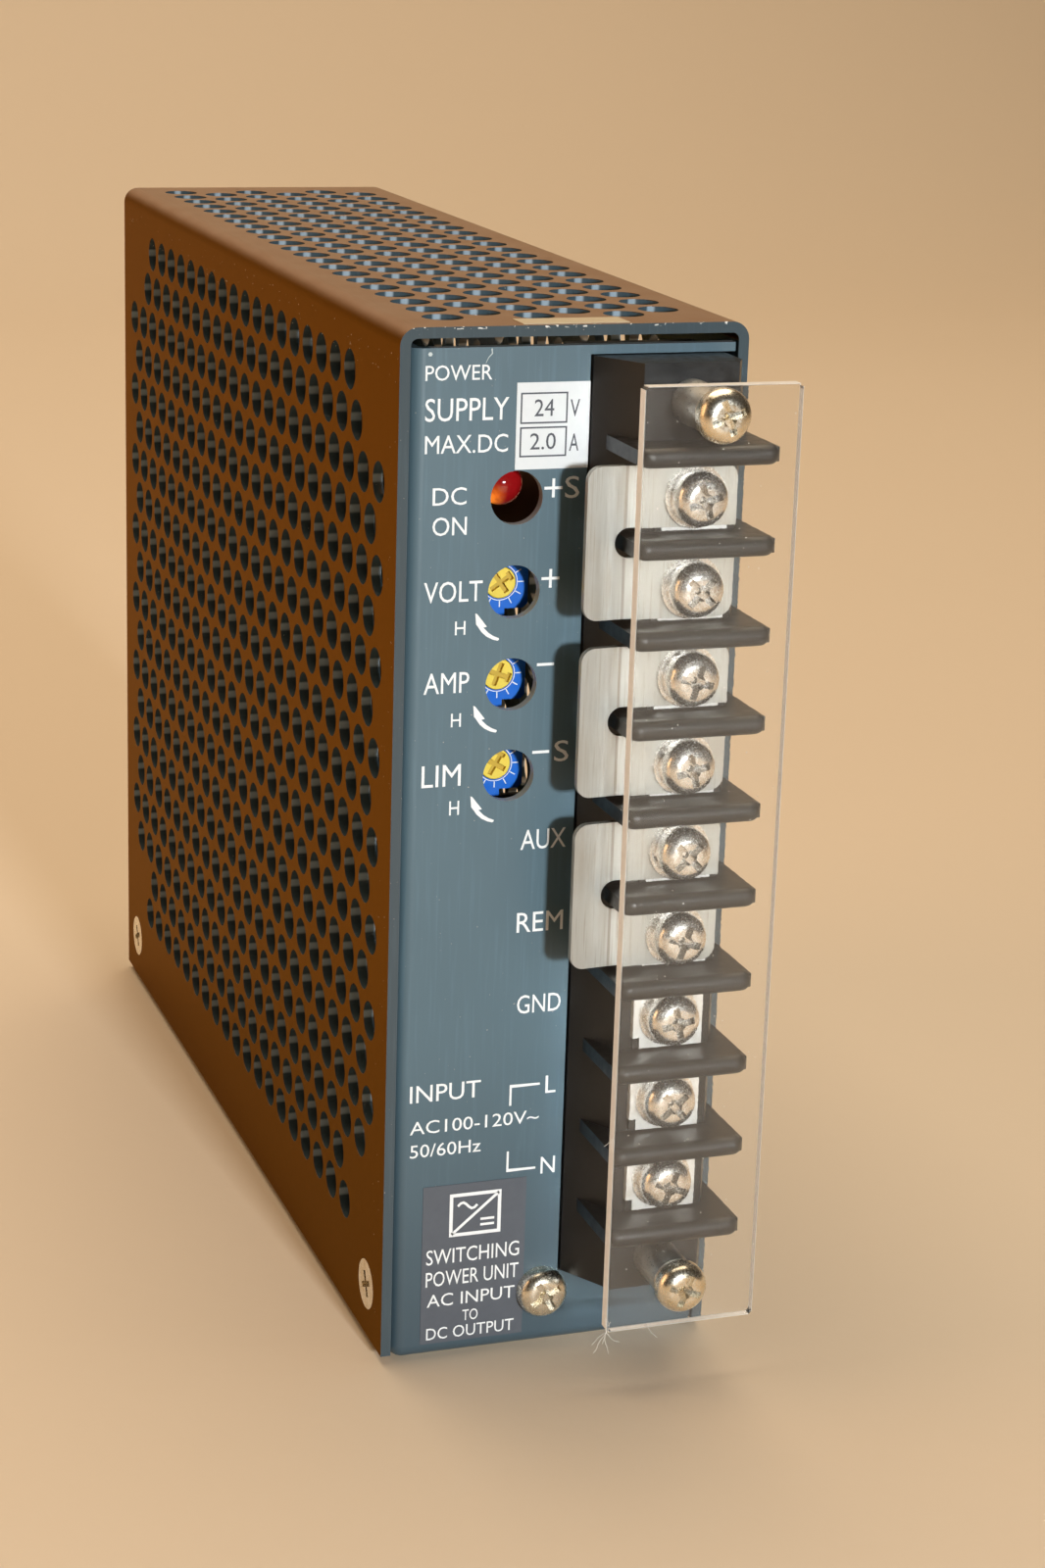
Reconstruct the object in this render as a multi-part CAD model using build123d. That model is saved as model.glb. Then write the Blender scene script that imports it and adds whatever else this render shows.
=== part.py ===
"""Enclosed power supply with a screw terminal block and a rear DIN rail clip.

Millimetres. X runs across the width (+X to the right of a person facing the
front panel), Y runs from the front (-Y) to the rear (+Y), and Z is up. The
origin is the centre of the underside of the chassis base.
"""

import os
from math import sqrt

from build123d import *

# ---------------------------------------------------------------- case
WIDTH = 40.0
DEPTH = 140.0
HEIGHT = 121.0
SHEET = 1.2
COVER_LIFT = 1.0  # the cover's lower edges stop this far above the underside
COVER_BEND = 2.0  # outer bend radius of the cover
FRONT = -DEPTH / 2
REAR = DEPTH / 2

CHASSIS_GAP = 0.2  # between the cover's inside and the chassis flanges
CHASSIS_X = WIDTH / 2 - SHEET - CHASSIS_GAP
CHASSIS_TOP = 118.7
PANEL_INSET = 0.4  # the panel's face lies this far behind the cover's edge
PANEL_Y = FRONT + PANEL_INSET
REAR_Y = REAR - PANEL_INSET
CHASSIS_BEND = 1.6
FLANGE = 11.6

HOLE_PITCH = 6.0
HOLE_ROW = 5.24
HOLE_R = 2.3
SIDE_ROWS = 20
SIDE_COLUMNS = 22
SIDE_TOP_ROW = 113.6
TOP_STEP = 3.0
TOP_ROWS = 43
TOP_SPACING = 2 * HOLE_ROW
FIRST_HOLE_Y = FRONT + 7.1

# ---------------------------------------------------------------- panel
CONTROL_X = -6.3
CONTROL_R = 3.0
CONTROL_TOP_Z = 102.2
CONTROL_PITCH = 10.5
PANEL_SCREW = (-0.4, 7.0)
SIDE_SCREW_Y = 63.4
SIDE_SCREW_Z = 7.3
BASE_HOLE_Y = 50.0
BASE_HOLE_R = 1.5

# ---------------------------------------------------------------- terminals
TERMINALS = 9
PITCH = 10.0
TERMINAL_X = 11.0
TERMINAL_TOP_Z = 103.5
BLOCK_LEFT = 1.9
BLOCK_RIGHT = 17.3
BLOCK_LOW = 9.4
BLOCK_HIGH = 117.6
BLOCK_BACK = -60.0
SEAT_FACE_Y = -76.0
SEAT_T = 0.8
SEAT_X = (6.9, 15.3)
SEAT_HALF = 3.9  # half the height of a seat plate
SEAT_NOTCH = (0.8, 1.3)  # the lower left corner that the block's tab fills
BARREL_R = 2.5
BARREL_BACK = -69.2
JUMPER_T = 0.8
JUMPER_HEIGHT = 16.9
JUMPER_SLOT_R = 1.65
RIB_X = (3.0, 19.1)
RIB_TIP_Y = -82.3
RIB_ROOT_Y = -70.4
RIB_T = 1.6
RIB_BAR_T = 2.2
RIB_BAR_DEPTH = 1.9
RIB_BAR_ROUND = 1.0
JUMPED = 6  # terminals 1 to 6 are bridged in pairs

SCREW_R = 1.5
FIT = 0.05
HEAD_R = 3.0
HEAD_H = 2.3
FLAT_WASHER = (3.5, 0.5)
SPRING_WASHER = (2.9, 0.7)
TOUCH = 0.02  # air left between parts that bear on each other but move

CLEAR_X = (2.4, 20.3)
CLEAR_Z = (8.2, 116.5)
CLEAR_Y = (-84.5, -83.0)
STANDOFF_Z = (113.4, 13.2)
STANDOFF_R = 2.5
STANDOFF_BACK = -73.6  # the end of the spigot that sits in the block

# ---------------------------------------------------------------- board
BOARD_X = (-14.6, -13.0)
BOARD_Y = (-66.5, 66.5)
BOARD_Z = (9.0, 113.0)
BOARD_FIX_Y = 62.5
BOARD_FIX_Z = (20.0, 104.0)
TAIL_Y = -54.5
TRIMMER_FACE = -64.8
ROTOR_R = 1.8
LED_R = 2.5
LED_BASE_Y = -59.4
FUSE = (-6.6, -50.0)  # X and Y of the fuse's axis
FUSE_R = 2.6
FUSE_CLIP_Z = (15.5, 32.5)
CHOKE = (-30.0, 36.0)  # Y and Z of the input choke's centre
CHOKE_R = (5.5, 10.5)
CHOKE_X = (-10.0, 2.0)
OUT_CHOKE = (-34.0, 72.0)
OUT_CHOKE_R = (5.0, 9.5)
OUT_CHOKE_X = (-10.0, -1.0)
HEATSINK_Y = 46.0
CORE_X = (-10.0, 13.0)
CORE_Y = (6.0, 36.0)
CORE_Z = (50.0, 80.0)

# ---------------------------------------------------------------- rail clip
CLIP_X = 14.0
CLIP_Z = (16.0, 86.0)
CLIP_FLOOR = REAR_Y + 1.0
RAIL_SEAT_Y = REAR_Y + 5.0
GUIDE_Y = RAIL_SEAT_Y - 1.3  # the underside of the lips that guide the latch
CLIP_SCREW_SEAT = RAIL_SEAT_Y - 2.7
CLIP_BACK_Y = REAR_Y + 8.0
RAIL_Z = (43.5, 78.5)
RAIL_FLANGE = 1.2
CLIP_SCREW = (10.0, 66.0)
LATCH_W = 6.0
LATCH_NECK = 4.0
LATCH_GAP = 0.12
LATCH_Z = (9.0, 52.0)
BEAK_LOW = 36.5
SPRING_Z = (28.6, 39.9)
SPRING_R = 1.4
WIRE_R = 0.25


def box(x, y, z):
    """A box between two corners, given as (low, high) along each axis."""
    size = (x[1] - x[0], y[1] - y[0], z[1] - z[0])
    centre = ((x[0] + x[1]) / 2, (y[0] + y[1]) / 2, (z[0] + z[1]) / 2)
    return Pos(*centre) * Box(*size)


def rod(axis, start, end, radius, at):
    """A cylinder along one axis; at gives the other two coordinates in order."""
    length = end - start
    middle = (start + end) / 2
    solid = Cylinder(radius, abs(length))
    if axis == "x":
        return Pos(middle, at[0], at[1]) * Rot(0, 90, 0) * solid
    if axis == "y":
        return Pos(at[0], middle, at[1]) * Rot(90, 0, 0) * solid
    return Pos(at[0], at[1], middle) * solid


def group(solids):
    """Several separate solids kept together as one node."""
    return Compound(children=list(solids))


def terminal_z(number):
    return TERMINAL_TOP_Z - PITCH * number


def control_z(number):
    return CONTROL_TOP_Z - CONTROL_PITCH * number


def screw(length):
    """A cross-recessed pan head screw along +Z, with its head above Z=0 and its shank below."""
    head = Pos(0, 0, HEAD_H / 2) * Cylinder(HEAD_R, HEAD_H)
    head = fillet(head.edges().group_by(Axis.Z)[-1], HEAD_H * 0.7)
    recess = Pos(0, 0, HEAD_H - 0.8) * Cone(0.25, HEAD_R * 0.3, 1.7)
    for turn in (0, 90):
        arm = Pos(0, 0, HEAD_H - 0.6) * Box(HEAD_R * 1.3, HEAD_R * 0.27, 1.3)
        recess += Rot(0, 0, turn) * arm
    shank = Pos(0, 0, -length / 2) * Cylinder(SCREW_R, length)
    shank = chamfer(shank.edges().group_by(Axis.Z)[0], SCREW_R * 0.3)
    return head + shank - recess


def facing_front(solid, x, y, z, turn=0.0):
    """Turn a solid built along +Z to face -Y and move it into place."""
    return Pos(x, y, z) * Rot(90, 0, 0) * Rot(0, 0, turn) * solid


# ---------------------------------------------------------------- cover
def side_hole_places():
    """Places of the side wall's holes, as (Y, Z), without the bare corners."""
    bare = {0: 2, 1: 1, SIDE_ROWS - 3: 0, SIDE_ROWS - 2: 2, SIDE_ROWS - 1: 1}
    places = []
    for row in range(SIDE_ROWS):
        shift = 0.5 if row % 2 else 0.0
        count = SIDE_COLUMNS - (1 if row % 2 else 0)
        skip = bare.get(row, 0)
        for column in range(skip, count - skip):
            y = FIRST_HOLE_Y + (column + shift) * HOLE_PITCH
            places.append((y, SIDE_TOP_ROW - row * HOLE_ROW))
    return places


def top_hole_places():
    """Places of the top wall's holes, as (X, Y)."""
    places = []
    for row in range(TOP_ROWS):
        first = -1.25 if row % 2 == 0 else -0.75
        for column in range(3):
            x = (first + column) * TOP_SPACING
            places.append((x, FIRST_HOLE_Y + row * TOP_STEP))
    return places


def perforated_wall(plane, low, high, places):
    """A sheet wall with round holes, grown from its outside face inwards."""
    corners = [(low[0], low[1]), (high[0], low[1]), (high[0], high[1]), (low[0], high[1])]
    outline = Wire.make_polygon([plane.from_local_coords(c) for c in corners])
    holes = []
    for u, v in places:
        centre = plane.from_local_coords((u, v))
        ring = Edge.make_circle(HOLE_R, Plane(centre, z_dir=plane.z_dir))
        holes.append(Wire([ring]))
    return extrude(Face(outline, holes), SHEET, dir=-plane.z_dir)


def countersink(side, y):
    """The tapered hole for a side screw; side is -1 for left, 1 for right."""
    cone = Cone(1.85, 3.1, SHEET + 0.1)
    return Pos(side * (WIDTH / 2 - SHEET / 2), y, SIDE_SCREW_Z) * Rot(0, side * 90, 0) * cone


def perforated_cover():
    wall_top = HEIGHT - COVER_BEND
    outside = {
        -1: Plane((-WIDTH / 2, 0, 0), x_dir=(0, 1, 0), z_dir=(-1, 0, 0)),
        1: Plane((WIDTH / 2, 0, 0), x_dir=(0, 1, 0), z_dir=(1, 0, 0)),
    }
    cover = Part()
    for side, plane in outside.items():
        v_sign = plane.y_dir.Z
        places = [(y, v_sign * z) for y, z in side_hole_places()]
        edges = sorted((v_sign * COVER_LIFT, v_sign * wall_top))
        wall = perforated_wall(plane, (FRONT, edges[0]), (REAR, edges[1]), places)
        for end in (-SIDE_SCREW_Y, SIDE_SCREW_Y):
            wall -= countersink(side, end)
        cover += wall
    top = Plane((0, 0, HEIGHT), x_dir=(1, 0, 0), z_dir=(0, 0, 1))
    half = WIDTH / 2 - COVER_BEND
    cover += perforated_wall(top, (-half, FRONT), (half, REAR), top_hole_places())
    for side in (-1, 1):
        centre = (side * half, 0, wall_top)
        ring = Pos(*centre) * Rot(90, 0, 0) * (
            Cylinder(COVER_BEND, DEPTH) - Cylinder(COVER_BEND - SHEET, DEPTH)
        )
        quarter_x = sorted((side * half, side * (half + COVER_BEND)))
        quarter = box(quarter_x, (FRONT, REAR), (wall_top, HEIGHT))
        cover += ring & quarter
    return cover


# ---------------------------------------------------------------- chassis
def chassis():
    shell = box((-CHASSIS_X, CHASSIS_X), (PANEL_Y, REAR_Y), (0, CHASSIS_TOP))
    uprights = shell.edges().filter_by(Axis.Z).group_by(Axis.X)[0]
    shell = fillet(uprights + shell.edges().group_by(Axis.Z)[0], CHASSIS_BEND)
    inner_x = CHASSIS_X - SHEET
    room = box(
        (-inner_x, inner_x),
        (PANEL_Y + SHEET, REAR_Y - SHEET),
        (SHEET, CHASSIS_TOP + SHEET),
    )
    uprights = room.edges().filter_by(Axis.Z).group_by(Axis.X)[0]
    room = fillet(uprights + room.edges().group_by(Axis.Z)[0], CHASSIS_BEND - SHEET)
    shell -= room
    above = (FLANGE, CHASSIS_TOP + 1)
    inside_y = (PANEL_Y + FLANGE, REAR_Y - FLANGE)
    shell -= box((-CHASSIS_X - 1, -inner_x + 0.5), inside_y, above)
    shell -= box((inner_x - 0.5, CHASSIS_X + 1), (PANEL_Y + SHEET, REAR_Y - SHEET), above)
    # opening for the terminal block, above a strip and out to the right edge
    shell -= box((1.7, CHASSIS_X + 1), (PANEL_Y - 1, PANEL_Y + 3), (BLOCK_LOW - 0.2, BLOCK_HIGH + 0.1))
    for number in range(4):
        at = (CONTROL_X, control_z(number))
        shell -= rod("y", PANEL_Y - 1, PANEL_Y + 3, CONTROL_R, at)
    shell -= rod("y", PANEL_Y - 1, PANEL_Y + 3, SCREW_R + FIT, PANEL_SCREW)
    for side in (-1, 1):
        for y in (-SIDE_SCREW_Y, SIDE_SCREW_Y):
            start, end = sorted((side * (inner_x - 1), side * (CHASSIS_X + 1)))
            shell -= rod("x", start, end, 1.7, (y, SIDE_SCREW_Z))
        shell -= rod("z", -1, SHEET + 1, BASE_HOLE_R, (0, side * BASE_HOLE_Y))
        at = (side * CLIP_SCREW[0], CLIP_SCREW[1])
        shell -= rod("y", REAR_Y - 3, REAR_Y + 1, SCREW_R + FIT, at)
        for z in BOARD_FIX_Z:
            at = (side * BOARD_FIX_Y, z)
            shell -= rod("x", -CHASSIS_X - 1, -inner_x + 1, SCREW_R + FIT, at)
    return shell


# ---------------------------------------------------------------- terminals
def terminal_block():
    outline = Polyline(
        (BLOCK_LEFT, BLOCK_BACK),
        (BLOCK_LEFT, FRONT),
        (BLOCK_LEFT + 3.6, SEAT_FACE_Y),
        (BLOCK_RIGHT - 0.8, SEAT_FACE_Y),
        (BLOCK_RIGHT, SEAT_FACE_Y + 1.4),
        (BLOCK_RIGHT, BLOCK_BACK),
        close=True,
    )
    body = Pos(0, 0, BLOCK_LOW) * extrude(make_face(outline), BLOCK_HIGH - BLOCK_LOW)
    for number in range(TERMINALS + 1):
        z = terminal_z(number) + PITCH / 2
        web = box(RIB_X, (RIB_TIP_Y + 1, RIB_ROOT_Y), (z - RIB_T / 2, z + RIB_T / 2))
        bar_y = (RIB_TIP_Y, RIB_TIP_Y + RIB_BAR_DEPTH)
        bar = box(RIB_X, bar_y, (z - RIB_BAR_T / 2, z + RIB_BAR_T / 2))
        corners = bar.edges().filter_by(Axis.Z).group_by(Axis.Y)[0]
        bar = fillet(corners, 1.4)
        bar = fillet(bar.edges().group_by(Axis.Y)[0], RIB_BAR_ROUND)
        body += web + bar
    for number in range(TERMINALS):
        z = terminal_z(number)
        well_end = BARREL_BACK + 0.4
        body -= rod("y", SEAT_FACE_Y - 1, well_end, BARREL_R + 0.1, (TERMINAL_X, z))
        tail_x = (TERMINAL_X - 0.9, TERMINAL_X + 0.9)
        body -= box(tail_x, (well_end - 0.2, BLOCK_BACK + 1), (z - 0.6, z + 0.6))
        # the small tab that keys the seat plate at its lower left corner
        tab_x = (SEAT_X[0], SEAT_X[0] + SEAT_NOTCH[0] - 0.1)
        tab_z = (z - SEAT_HALF, z - SEAT_HALF + SEAT_NOTCH[1] - 0.1)
        body += box(tab_x, (SEAT_FACE_Y - SEAT_T, SEAT_FACE_Y), tab_z)
    for z in STANDOFF_Z:
        body -= rod("y", SEAT_FACE_Y - 1, STANDOFF_BACK + 0.1, SCREW_R + 0.3, (TERMINAL_X, z))
    return body


def terminal_seats():
    """Nine seat plates, each with its threaded barrel and its board tail."""
    seats = []
    for number in range(TERMINALS):
        z = terminal_z(number)
        low = z - SEAT_HALF
        plate = box(SEAT_X, (SEAT_FACE_Y - SEAT_T, SEAT_FACE_Y), (low, z + SEAT_HALF))
        notch_x = (SEAT_X[0] - 1, SEAT_X[0] + SEAT_NOTCH[0])
        plate -= box(notch_x, (SEAT_FACE_Y - 1, SEAT_FACE_Y + 1), (low - 1, low + SEAT_NOTCH[1]))
        seat = plate + rod("y", SEAT_FACE_Y - 0.1, BARREL_BACK, BARREL_R, (TERMINAL_X, z))
        tail_x = (TERMINAL_X - 0.8, TERMINAL_X + 0.8)
        tail_z = (z - 0.4, z + 0.4)
        seat += box(tail_x, (BARREL_BACK - 0.2, TAIL_Y), tail_z)
        seat += box((BOARD_X[0] - 1.4, tail_x[1]), (TAIL_Y - 0.8, TAIL_Y), tail_z)
        seat -= rod("y", SEAT_FACE_Y - 2, BARREL_BACK - 0.6, SCREW_R + FIT, (TERMINAL_X, z))
        seats.append(seat)
    return group(seats)


def jumper(pair):
    """A bridge plate over two terminals, slotted to pass the rib between."""
    z = terminal_z(2 * pair) - PITCH / 2
    back = SEAT_FACE_Y - SEAT_T
    left, bend, right = -1.2, 3.4, 16.0
    lift = 0.35  # the free left part leans this far forward at its edge
    section = Polyline(
        (right, back),
        (bend, back),
        (left, back - lift),
        (left, back - lift - JUMPER_T),
        (bend, back - JUMPER_T),
        (right, back - JUMPER_T),
        close=True,
    )
    plate = extrude(make_face(section), JUMPER_HEIGHT)
    plate = Pos(0, 0, z - JUMPER_HEIGHT / 2) * plate
    for edge_x in (0, -1):
        corners = plate.edges().filter_by(Axis.Y, tolerance=12).group_by(Axis.X)[edge_x]
        plate = fillet(corners, 1.6)
    slot_end = 2.2 + JUMPER_SLOT_R
    slot_z = (z - JUMPER_SLOT_R, z + JUMPER_SLOT_R)
    plate -= rod("y", back - 3, back + 1, JUMPER_SLOT_R, (slot_end, z))
    plate -= box((slot_end, right + 1), (back - 3, back + 1), slot_z)
    for number in (2 * pair, 2 * pair + 1):
        at = (TERMINAL_X, terminal_z(number))
        plate -= rod("y", back - 3, back + 1, SCREW_R + 0.4, at)
    return plate


def stack_face(number):
    """Where the washers bear: on the jumper, or on the bare seat plate."""
    face = SEAT_FACE_Y - SEAT_T - TOUCH
    if number < JUMPED:
        face -= JUMPER_T
    return face


def terminal_washers(number):
    """A flat washer and a split spring washer, captive on one screw."""
    z = terminal_z(number)
    face = stack_face(number)
    bore = SCREW_R + 0.08
    flat = Cylinder(FLAT_WASHER[0], FLAT_WASHER[1]) - Cylinder(bore, 2)
    flat_mid = face - FLAT_WASHER[1] / 2
    split = Cylinder(SPRING_WASHER[0], SPRING_WASHER[1]) - Cylinder(bore, 2)
    split -= Rot(0, 0, 35 + 40 * number) * Pos(2.2, 0, 0) * Rot(20, 0, 0) * Box(3, 0.5, 3)
    split_mid = face - FLAT_WASHER[1] - SPRING_WASHER[1] / 2 - 0.01
    return group(
        [
            facing_front(flat, TERMINAL_X, flat_mid, z),
            facing_front(split, TERMINAL_X, split_mid, z),
        ]
    )


def terminal_screw(number):
    under = stack_face(number) - FLAT_WASHER[1] - SPRING_WASHER[1] - 2 * TOUCH
    turned = 17 + 29 * number
    return facing_front(screw(8.0), TERMINAL_X, under, terminal_z(number), turned)


def clear_cover():
    sheet = box(CLEAR_X, CLEAR_Y, CLEAR_Z)
    sheet = fillet(sheet.edges().filter_by(Axis.Y), 0.6)
    for z in STANDOFF_Z:
        sheet -= rod("y", CLEAR_Y[0] - 1, CLEAR_Y[1] + 1, SCREW_R + 0.3, (TERMINAL_X, z))
    return sheet


def cover_standoffs():
    posts = []
    for z in STANDOFF_Z:
        post = rod("y", CLEAR_Y[1] + TOUCH, SEAT_FACE_Y, STANDOFF_R, (TERMINAL_X, z))
        post = chamfer(post.edges().group_by(Axis.Y)[0], 0.3)
        post += rod("y", SEAT_FACE_Y - 0.5, STANDOFF_BACK, SCREW_R + 0.25, (TERMINAL_X, z))
        post -= rod("y", CLEAR_Y[1] - 1, STANDOFF_BACK - 0.8, SCREW_R + FIT, (TERMINAL_X, z))
        posts.append(post)
    return group(posts)


def clear_cover_screw(which):
    under = CLEAR_Y[0] - TOUCH
    return facing_front(screw(9.0), TERMINAL_X, under, STANDOFF_Z[which], 20 + 50 * which)


# ---------------------------------------------------------------- case screws
def hex_nut(across, thickness, bore):
    nut = extrude(RegularPolygon(across / sqrt(3), 6), thickness / 2, both=True)
    return nut - Cylinder(bore, thickness + 1)


def panel_screw():
    x, z = PANEL_SCREW
    bolt = facing_front(screw(6.0), x, PANEL_Y, z, 30)
    nut = facing_front(hex_nut(5.5, 2.4, SCREW_R), x, PANEL_Y + SHEET + 1.2, z)
    return group([bolt, nut])


def side_screws():
    """Four countersunk screws that hold the cover to the chassis flanges."""
    screws = []
    head_h = 1.5
    for side in (-1, 1):
        for y in (-SIDE_SCREW_Y, SIDE_SCREW_Y):
            head = Pos(0, 0, -head_h / 2) * Cone(SCREW_R, 3.0, head_h)
            shank = Pos(0, 0, -3.5) * Cylinder(SCREW_R, 5.0)
            recess = Part()
            for turn in (25, 115):
                recess += Rot(0, 0, turn) * Pos(0, 0, -0.4) * Box(3.2, 0.7, 1.0)
            bolt = head + shank - recess
            face = Pos(side * WIDTH / 2, y, SIDE_SCREW_Z) * Rot(0, side * 90, 0)
            screws.append(face * bolt)
    return group(screws)


# ---------------------------------------------------------------- board
def circuit_board():
    board = box(BOARD_X, BOARD_Y, BOARD_Z)
    board = fillet(board.edges().filter_by(Axis.X), 1.0)
    for y in (-BOARD_FIX_Y, BOARD_FIX_Y):
        for z in BOARD_FIX_Z:
            board -= rod("x", BOARD_X[0] - 1, BOARD_X[1] + 1, SCREW_R + 0.1, (y, z))
    for number in range(TERMINALS):
        z = terminal_z(number)
        slot_y = (TAIL_Y - 0.9, TAIL_Y + 0.1)
        board -= box((BOARD_X[0] - 1, BOARD_X[1] + 1), slot_y, (z - 0.5, z + 0.5))
    return board


def board_fixing_places():
    return [(y, z) for y in (-BOARD_FIX_Y, BOARD_FIX_Y) for z in BOARD_FIX_Z]


def board_spacers():
    flange_face = -CHASSIS_X + SHEET
    posts = []
    for at in board_fixing_places():
        post = rod("x", flange_face, BOARD_X[0], 2.75, at)
        posts.append(post - rod("x", flange_face - 1, BOARD_X[0] + 1, SCREW_R + 0.1, at))
    return group(posts)


def board_screws():
    screws = []
    for y, z in board_fixing_places():
        screws.append(Pos(BOARD_X[1], y, z) * Rot(0, 90, 0) * screw(5.8))
    return group(screws)


def insulating_sheet():
    face = -CHASSIS_X + SHEET
    film = box((face + 0.1, face + 0.4), BOARD_Y, BOARD_Z)
    for at in board_fixing_places():
        film -= rod("x", face - 1, face + 1, 2.9, at)
    return film


def indicator_led():
    z = CONTROL_TOP_Z + 0.6
    at = (CONTROL_X, z)
    dome_y = LED_BASE_Y - 4.3
    lens = rod("y", dome_y, LED_BASE_Y, LED_R, at) + Pos(CONTROL_X, dome_y, z) * Sphere(LED_R)
    lens += rod("y", LED_BASE_Y, LED_BASE_Y + 1, LED_R + 0.4, at)
    for shift in (-1.27, 1.27):
        wire_z = (z + shift - 0.25, z + shift + 0.25)
        lens += box((CONTROL_X - 0.25, CONTROL_X + 0.25), (-58.5, -57.0), wire_z)
        lens += box((BOARD_X[1], CONTROL_X + 0.25), (-57.5, -57.0), wire_z)
    return lens


def trimmer_bodies():
    bodies = []
    for number in (1, 2, 3):
        z = control_z(number)
        case = box((CONTROL_X - 3.3, CONTROL_X + 3.3), (TRIMMER_FACE, -60.2), (z - 3.8, z + 3.8))
        case = chamfer(case.edges().filter_by(Axis.Y), 1.3)
        case -= box((CONTROL_X + 0.6, CONTROL_X + 4), (TRIMMER_FACE - 1, -60), (z - 4, z - 3.0))
        case += box((BOARD_X[1], CONTROL_X - 3), (-63.6, -60.8), (z - 2.6, z + 2.6))
        case -= rod("y", TRIMMER_FACE - 1, -62.9, ROTOR_R + 0.06, (CONTROL_X, z))
        bodies.append(case)
    return group(bodies)


def trimmer_rotor(number):
    z = control_z(number)
    turn = (0, 35, -20, 60)[number]
    rotor = Pos(0, 0, -0.85) * Cylinder(ROTOR_R, 1.9)
    rotor = fillet(rotor.edges().group_by(Axis.Z)[-1], 0.15)
    for angle in (0, 90):
        rotor -= Rot(0, 0, angle) * Box(2.7, 0.6, 1.0)
    rotor -= Pos(1.3, 0, 0) * Box(0.5, 1.1, 1.0)
    return facing_front(rotor, CONTROL_X, TRIMMER_FACE - 0.1, z, turn)


# ---------------------------------------------------------------- power parts
def fuse():
    glass = rod("z", FUSE_CLIP_Z[0], FUSE_CLIP_Z[1], FUSE_R - 0.2, FUSE)
    caps = [rod("z", z - 2.5, z + 2.5, FUSE_R, FUSE) for z in FUSE_CLIP_Z]
    return glass + caps


def fuse_clips():
    clips = []
    for z in FUSE_CLIP_Z:
        clip = box((BOARD_X[1], -3.6), (-53.6, -46.4), (z - 1.8, z + 1.8))
        clip -= box((-10.0, -3.0), (-52.9, -47.1), (z - 3, z + 3))
        clip -= rod("z", z - 3, z + 3, FUSE_R + TOUCH, FUSE)
        clips.append(clip)
    return group(clips)


def ring_core(place, radii, x):
    """A toroidal core lying flat on the board."""
    return rod("x", x[0], x[1], radii[1], place) - rod("x", x[0] - 1, x[1] + 1, radii[0], place)


def winding(place, radii, x, turns, arcs, wire):
    """Rectangular wire turns around a toroidal core, one solid for each."""
    loops = []
    middle = (radii[0] + radii[1]) / 2
    half_r = (radii[1] - radii[0]) / 2 + wire
    half_x = (x[1] - x[0]) / 2 + wire
    for start, end in arcs:
        for step in range(turns):
            angle = start + (end - start) * step / (turns - 1)
            outer = Box(2 * (half_x + wire), 2 * (half_r + wire), 2 * wire)
            turn = outer - Box(2 * half_x, 2 * half_r, 3 * wire)
            turn = Pos(0, middle, 0) * turn
            loops.append(Pos((x[0] + x[1]) / 2, *place) * Rot(angle, 0, 0) * turn)
    return loops


def choke_core():
    return ring_core(CHOKE, CHOKE_R, CHOKE_X)


def choke_winding():
    arcs = [(25, 155), (205, 335)]
    return group(winding(CHOKE, CHOKE_R, CHOKE_X, 9, arcs, 0.4))


def line_capacitor():
    case = box((BOARD_X[1], 3.0), (-42.0, -24.0), (11.0, 20.0))
    return fillet(case.edges().group_by(Axis.X)[-1], 1.0)


def bridge_rectifier():
    case = box((-8.0, 12.0), (-13.0, -9.5), (34.0, 56.0))
    case = chamfer(case.edges().filter_by(Axis.Y).group_by(Axis.Z)[-1], 2.0)
    for z in (36.5, 42.0, 48.0, 53.5):
        case += box((BOARD_X[1], -7.9), (-11.7, -10.7), (z - 0.5, z + 0.5))
    return case


def can(place, radius, height):
    """An electrolytic capacitor standing on the board."""
    body = rod("x", BOARD_X[1], BOARD_X[1] + height, radius, place)
    body = fillet(body.edges().group_by(Axis.X)[-1], 0.8)
    groove = rod("x", BOARD_X[1] + 2.0, BOARD_X[1] + 3.0, radius + 1, place)
    groove -= rod("x", BOARD_X[1] + 1, BOARD_X[1] + 4, radius - 0.5, place)
    return body - groove


def bulk_capacitors():
    return group([can((-10.0, 21.5), 9.0, 28.0), can((10.5, 21.5), 9.0, 28.0)])


def heatsink(y, z_low, z_high, fins):
    """An upright aluminium plate with fins on its front."""
    plate = box((BOARD_X[1] + 0.6, 16.0), (y, y + 2.0), (z_low, z_high))
    for step in range(fins):
        z = z_low + (z_high - z_low - 1.2) * step / (fins - 1)
        plate += box((BOARD_X[1] + 4, 16.0), (y + 1.9, y + 8.0), (z, z + 1.2))
    return plate


def primary_heatsink():
    return heatsink(HEATSINK_Y, 14.0, 46.0, 6)


def secondary_heatsink():
    return heatsink(HEATSINK_Y, 70.0, 108.0, 7)


def power_package(y, z):
    """A three-lead power device screwed flat against a heatsink."""
    case = box((-2.0, 7.0), (y - 4.4, y - 1.3), (z - 5, z + 5))
    tab = box((-2.0, 13.5), (y - 1.3, y), (z - 5, z + 5))
    tab -= rod("y", y - 3, y + 1, 1.8, (10.4, z))
    body = case + tab
    for shift in (-2.54, 0, 2.54):
        leg_z = (z + shift - 0.4, z + shift + 0.4)
        body += box((BOARD_X[1], -1.9), (y - 2.8, y - 2.2), leg_z)
    return body


def transformer_core():
    core = box(CORE_X, CORE_Y, CORE_Z)
    window_x = (CORE_X[0] + 5, CORE_X[1] - 5)
    for window_z in ((55.5, 61.0), (69.0, 74.5)):
        core -= box(window_x, (CORE_Y[0] - 1, CORE_Y[1] + 1), window_z)
    return core


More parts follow.
